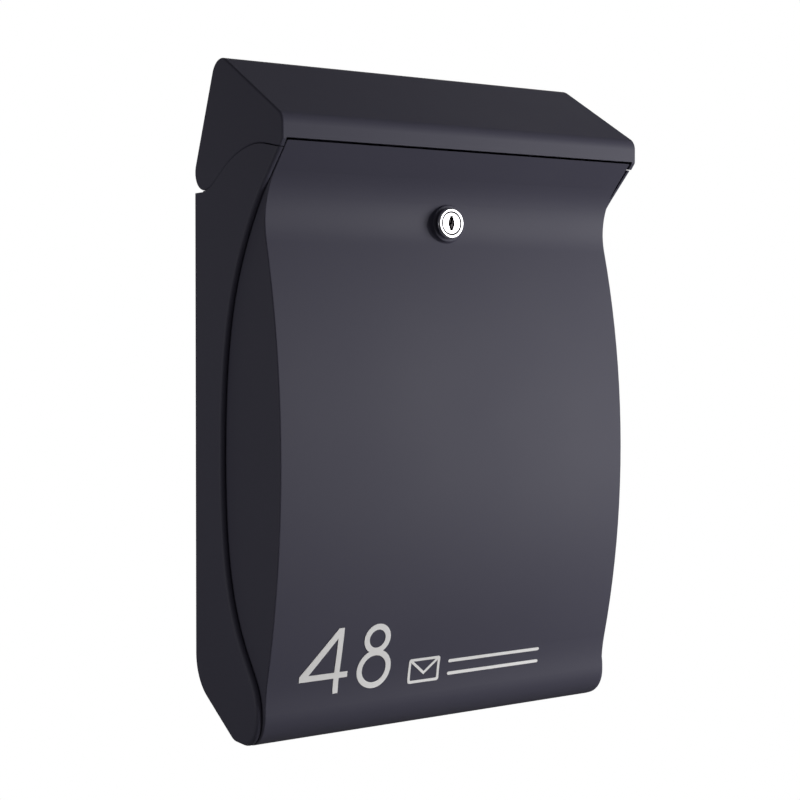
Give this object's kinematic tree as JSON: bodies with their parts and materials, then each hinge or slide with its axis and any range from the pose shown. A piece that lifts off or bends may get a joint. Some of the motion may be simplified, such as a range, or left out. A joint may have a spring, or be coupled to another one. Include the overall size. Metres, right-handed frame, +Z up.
{
  "type": "wall mounted mailbox",
  "caption": "Wall mounted mailbox with a curved locking door, a sloping lift-up lid over the letter slot and a cam lock.",
  "frame": {"origin": "centre of the rectangle of four wall screw holes, on the flat back face", "axes": "+Y into the wall (outward normal of the back face), +Z up, +X to the right seen from the front"},
  "size_m": [0.2616, 0.11, 0.4058],
  "materials": {
    "anthracite": "smooth satin anthracite moulding",
    "lid_anthracite": "smooth satin anthracite moulding",
    "door_anthracite": "smooth satin anthracite moulding",
    "lettering": "light grey vinyl film",
    "chrome": "polished chrome plate",
    "plug_chrome": "chrome plate with a satin face",
    "wafer_brass": "stamped brass",
    "zinc_steel": "bright zinc plate",
    "zinc_screw": "bright zinc plate",
    "pin_steel": "ground stainless steel",
    "spring_steel": "phosphated spring steel",
    "rubber": "moulded rubber"
  },
  "bodies": {
    "casing": {"body_shell": "anthracite", "catch_rail": "zinc_steel", "catch_rail_screws": "zinc_screw", "lid_buffers": "rubber", "lid_hinge_pin_left": "pin_steel", "lid_hinge_pin_right": "pin_steel", "lid_pin_washers": "spring_steel", "door_hinge_pin_left": "pin_steel", "door_hinge_pin_right": "pin_steel", "door_pin_washers": "spring_steel"},
    "lid": {"lid_shell": "lid_anthracite"},
    "door": {"door_panel": "door_anthracite", "door_buffers": "rubber", "number_digit_left": "lettering", "number_digit_right": "lettering", "envelope_emblem": "lettering", "emblem_rules": "lettering", "lock_housing": "chrome", "lock_washer": "zinc_screw", "lock_nut": "zinc_screw"},
    "lock_core": {"lock_plug": "plug_chrome", "lock_wafers": "wafer_brass", "wafer_springs": "spring_steel", "lock_cam": "zinc_steel", "cam_washer": "zinc_screw", "cam_screw": "zinc_screw"}
  },
  "joints": [
    {"name": "lid_hinge", "type": "hinge", "parent": "casing", "child": "lid", "pos_m": [0, -0.0125, 0.155], "axis": [-1, 0, 0], "range_deg": [0, 22]},
    {"name": "door_hinge", "type": "hinge", "parent": "casing", "child": "door", "pos_m": [0, -0.0616, -0.1645], "axis": [1, 0, 0], "range_deg": [0, 95]},
    {"name": "lock_turn", "type": "hinge", "parent": "door", "child": "lock_core", "pos_m": [0, -0.08, 0.124], "axis": [0, 1, 0], "range_deg": [0, 90]}
  ]
}
